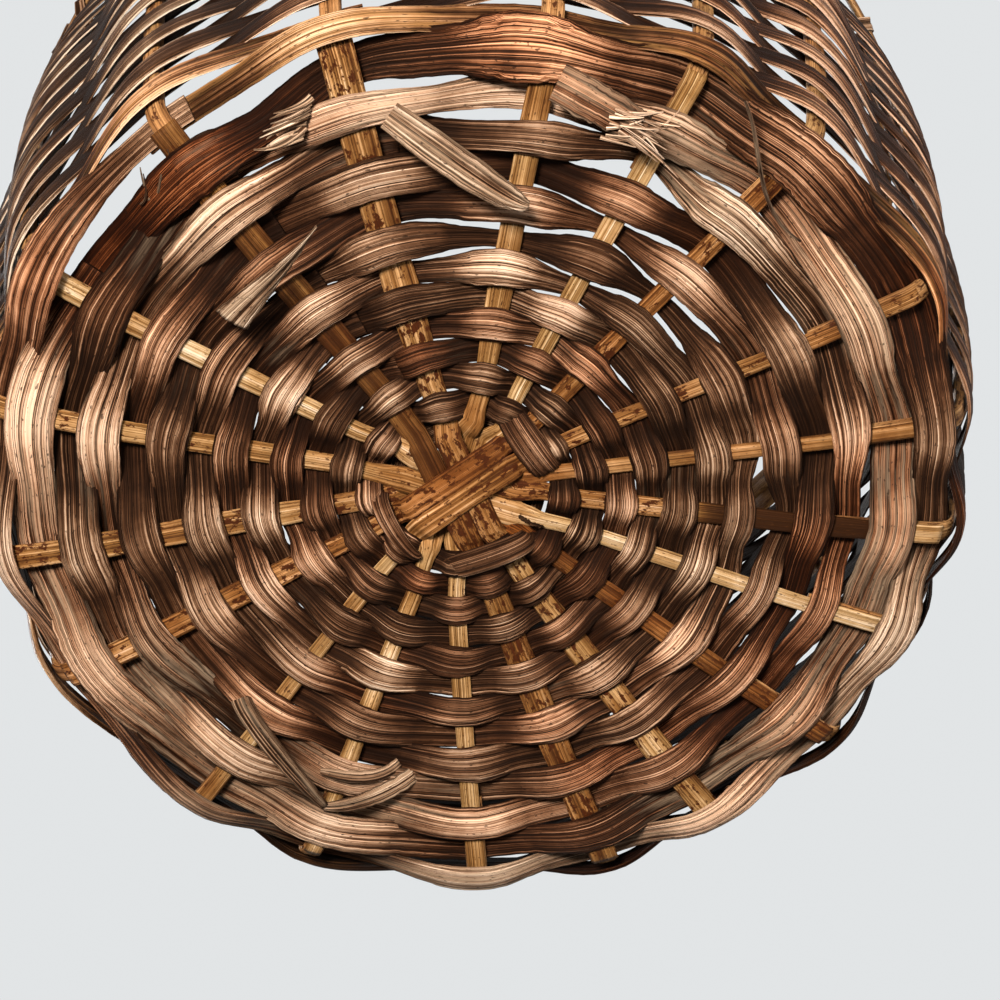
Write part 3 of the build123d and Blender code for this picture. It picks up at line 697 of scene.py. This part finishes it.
# Painted shade: on the side away from the window the border's tone, warmth, amber skin patches and pale edges
# are darkened
dark = painted_shade_side(run, 320)
run["tone"] += 0.24 - 0.4 * dark
run["warmth"] = np.clip(run["warmth"] + 0.2 - 0.3 * dark, 0, 1)
run["mottle"] = np.clip(run["mottle"] + 0.32 - 0.8 * dark, 0, 1)
run["edge"] -= 0.4 * dark
border = bend_strips("border_band", [run], skinned_vine, around=48, tube_seed=300)
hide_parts("border_band")

# Stakes of the wall: split sticks with rounded edges, each with a thinned foot pushed in behind a spoke.
# They bend round the corner and stand up to the rim.
height = 232.0
hoop_thickness = 3.0
hoop_width = 13.0
hoop_clearance = 0.2
lash_thickness = 0.8
lash_width = 5.0


def along_wall(z):
    """Distance along the woven shape at which the wall reaches the height z."""
    climb = pi / 2 + np.arcsin((z - belly_height) / wall_radius)
    return corner_end + (climb - corner_turn) * wall_radius


hoop_middle = along_wall(height - lash_thickness - hoop_clearance - hoop_width / 2)
stake_end = hoop_middle + hoop_width / 2 - 1
corner_step, climb_step = 1.5, 4.0
stick = strip_material(
    "stake_wood",
    shades=[(0.0, (0.03, 0.012, 0.004)), (0.25, (0.1, 0.042, 0.014)), (0.5, (0.26, 0.135, 0.05)),
            (0.75, (0.45, 0.27, 0.12)), (1.0, (0.7, 0.5, 0.28))],
    grain=0.6, crack_colour=(0.04, 0.016, 0.006), cracks=0.4, mottle_colour=(0.05, 0.016, 0.006),
    mottle_run=2.4, soft=0.03, roughness=0.45, relief=0.25)
for number, angle in enumerate(edge_angles, start=1):
    s = np.concatenate([np.arange(foot_start, full_stake_at, corner_step),
                        np.arange(full_stake_at, stake_end, climb_step), [stake_end]])
    rise = (stack - foot_thickness) / 2 * (1 - full_stake(s))
    rng = np.random.default_rng([41, number])
    turned = np.full(len(s), float(angle))
    run = {"centre": on_shape(s, turned, rise), "normal": inward(s, turned), "width": stake_width,
           "thickness": foot_thickness + (stake_thickness - foot_thickness) * full_stake(s),
           "camber": 0.0, "twist": 0.0, "tone": 0.42 + 0.1 * wander(rng, s, 60),
           "warmth": np.clip(0.2 + 0.2 * wander(rng, s, 80), 0, 1), "furrow": 0.05,
           "mottle": 0.5 + 0.3 * wander(rng, s, 40), "edge": 0.0}
    stake = bend_strips(f"wall_stake_{number:02d}", [run], stick, around=20, tube_seed=400 + number)
    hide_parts(f"wall_stake_{number:02d}")

# Weavers of the wall: ten dark strips, each about two rounds long, pressed down close together. Their
# edges are rubbed pale. Painted shade darkens them and their edges on the side away from the window, and
# painted light makes them paler and warmer on the side that faces the side lamp.
rim_gap = 0.6
lash_up = hoop_width / 2 + hoop_clearance + lash_thickness / 2
last_row = hoop_middle - lash_up - lash_thickness / 2 - rim_gap - (wall_row_pitch - row_gap) / 2
wall_strips = 10
wall_steps = int((last_row - float(row_distance(border_end))) / wall_row_pitch * spoke_count)
wall_breaks = [border_end + 2 * round(wall_steps * n / wall_strips / 2) for n in range(wall_strips + 1)]
for number, (first, last) in enumerate(zip(wall_breaks, wall_breaks[1:]), start=1):
    lies_on = border_thickness if number == 1 else weaver_thickness
    run = woven_run(first, last, weaver_thickness, lies_on, spacing=4.0, seed=50 + number)
    run["tone"] += 0.05 * (number % 3) - 0.06
    # Painted light and shade: paler, warmer strips towards the side lamp, darker strips with darker edges
    # away from the window
    dark = painted_shade_side(run, 280)
    painted_side_light = np.clip(np.cos(np.radians(run["angles"] - 150)), 0, 1) * (1 - dark)
    run["tone"] += 0.16 * painted_side_light - 0.1 * dark
    run["edge"] -= 0.75 * dark
    run["warmth"] = np.clip(0.4 * run["warmth"] + 0.4 * painted_side_light, 0, 1)
    weaver = bend_strips(f"wall_weaver_{number:02d}", [run], vine, around=20, tube_seed=500 + number)
    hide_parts(f"wall_weaver_{number:02d}")

# Rim hoops: two flat hoops of bent wood that clasp the stakes' ends, one inside and one outside. The
# photo doesn't show the rim, so it's a plain one.
hoop_offset = stake_thickness / 2 + hoop_clearance + hoop_thickness / 2
for name, side in (("rim_hoop_inner", 1), ("rim_hoop_outer", -1)):
    angle = np.linspace(0, 360, 181)
    s = np.full(len(angle), hoop_middle)
    run = {"centre": on_shape(s, angle, np.full(len(angle), side * hoop_offset)), "normal": inward(s, angle),
           "width": hoop_width, "thickness": hoop_thickness, "camber": 0.0, "twist": 0.0, "tone": 0.4,
           "warmth": 0.2, "furrow": 0.05, "mottle": 0.3, "edge": 0.0}
    hoop = bend_strips(name, [run], stick, around=28, tube_seed=600 + side)
    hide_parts(name)

# Rim lashing: one long strip of the same vine, wound over both hoops between the stakes.
lash_turns_per_gap = 3
points_per_turn = 16
lash_flatness = 1.35
lash_start = -0.75 * pi
shade_step = 2.4
lash_out = hoop_offset + hoop_thickness / 2 + hoop_clearance + lash_thickness / 2
lash_points, lash_normals = [], []
wall_up = float(meridian(hoop_middle)[2])
for k in range(spoke_count):
    here = edge_angles[k]
    following = edge_angles[k + 1] if k + 1 < spoke_count else edge_angles[0] + 360
    step = (following - here) / lash_turns_per_gap
    for turn in range(lash_turns_per_gap):
        for q in range(points_per_turn):
            share = q / points_per_turn
            angle = here + (turn + 0.5 + share) * step
            loop = 2 * pi * share + lash_start
            off = np.clip(lash_flatness * sin(loop), -1, 1) * lash_out
            up = np.clip(lash_flatness * cos(loop), -1, 1) * lash_up
            turned = radians(angle)
            lift = np.array([cos(wall_up) * cos(turned), cos(wall_up) * sin(turned), sin(wall_up)])
            side = inward(hoop_middle, angle)
            lash_points.append(on_shape(hoop_middle, angle, 0.0) + side * off + lift * up)
            lash_normals.append(side * sin(loop) + lift * cos(loop))
along = np.arange(len(lash_points)) * shade_step
rng = np.random.default_rng(71)
run = {"centre": np.array(lash_points), "normal": np.array(lash_normals), "width": lash_width,
       "thickness": lash_thickness, "camber": 0.0, "twist": 0.0, "tone": 0.3 + 0.08 * wander(rng, along, 120),
       "warmth": 0.15, "furrow": 0.2, "mottle": 0.1, "edge": 0.2}
lashing = bend_strips("rim_lashing", [run], vine, around=14, tube_seed=700)
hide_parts("rim_lashing")

# Studio: a pale floor that shows only from above, an even pale surround, and soft light from a window
# side and from below, where the base is looked at.
floor_mesh = bpy.data.meshes.new("floor")
floor_grid = bmesh.new()
bmesh.ops.create_grid(floor_grid, x_segments=1, y_segments=1, size=3.0)
floor_grid.to_mesh(floor_mesh)
floor_grid.free()
floor = bpy.data.objects.new("floor", floor_mesh)
bpy.context.scene.collection.objects.link(floor)
floor_paint = bpy.data.materials.new("floor_paint")
floor_paint.use_nodes = True
tree = floor_paint.node_tree
paint = tree.nodes["Principled BSDF"]
paint.inputs["Base Color"].default_value = (0.72, 0.72, 0.71, 1)
paint.inputs["Roughness"].default_value = 0.9
clear = wired(tree, "ShaderNodeBsdfTransparent", {})
behind = wired(tree, "ShaderNodeNewGeometry", {}).outputs["Backfacing"]
see_through = wired(tree, "ShaderNodeMixShader", {0: behind, 1: paint.outputs[0], 2: clear.outputs[0]})
tree.links.new(see_through.outputs[0], tree.nodes["Material Output"].inputs["Surface"])
floor_mesh.materials.append(floor_paint)
floor.visible_diffuse = floor.visible_glossy = floor.visible_transmission = floor.visible_shadow = False

world = bpy.data.worlds.new("studio")
bpy.context.scene.world = world
world.use_nodes = True
tree = world.node_tree
seen = wired(tree, "ShaderNodeBackground", {"Color": (0.76, 0.78, 0.79, 1), "Strength": 1.0})
lit = wired(tree, "ShaderNodeBackground", {"Color": (0.95, 0.97, 1.0, 1), "Strength": 0.05})
rays = wired(tree, "ShaderNodeLightPath", {})
direct = rays.outputs["Is Camera Ray"]
for passed_on in ("Is Glossy Ray", "Is Transmission Ray"):
    direct = wired(tree, "ShaderNodeMath", {0: direct, 1: rays.outputs[passed_on]},
                   operation="MAXIMUM").outputs[0]
surround = wired(tree, "ShaderNodeMixShader", {0: direct, 1: lit.outputs[0], 2: seen.outputs[0]})
tree.links.new(surround.outputs[0], tree.nodes["World Output"].inputs["Surface"])


def lamp(name, place, target, size, power, colour):
    """A square lamp at a place that shines at a target."""
    light = bpy.data.lights.new(name, "AREA")
    light.size = size
    light.energy = power
    light.color = colour
    held = bpy.data.objects.new(name, light)
    held.location = place
    held.rotation_euler = (Vector(target) - Vector(place)).to_track_quat("-Z", "Y").to_euler()
    bpy.context.scene.collection.objects.link(held)


lamp("window", (0.4, 1.05, -0.95), (0, 0, 0), 0.35, 66, (1.0, 0.96, 0.91))
lamp("side", (-1.2, 0.6, -0.4), (0, 0, 0), 0.5, 14, (1.0, 0.97, 0.93))
lamp("above", (0.7, -0.9, 1.4), (0, 0, 0.1), 1.0, 40, (1.0, 0.99, 0.97))

view_tilt = radians(27)
view_distance = 0.8
picture_widths = 2.536
aim = Vector((middle_drift[0] * mm - 0.0126, -0.0036, 0.0))
camera_data = bpy.data.cameras.new("camera")
camera_data.sensor_width = 36
camera_data.lens = picture_widths * camera_data.sensor_width
camera = bpy.data.objects.new("camera", camera_data)
camera.location = (middle_drift[0] * mm, view_distance * sin(view_tilt), -view_distance * cos(view_tilt))
forward = (aim - camera.location).normalized()
right = forward.cross(Vector((0, 1, 0))).normalized()
above = right.cross(forward)
turn = Matrix((right, above, -forward)).transposed()
camera.rotation_euler = turn.to_euler()
bpy.context.scene.collection.objects.link(camera)
bpy.context.scene.camera = camera
bpy.context.scene.view_settings.view_transform = "Standard"
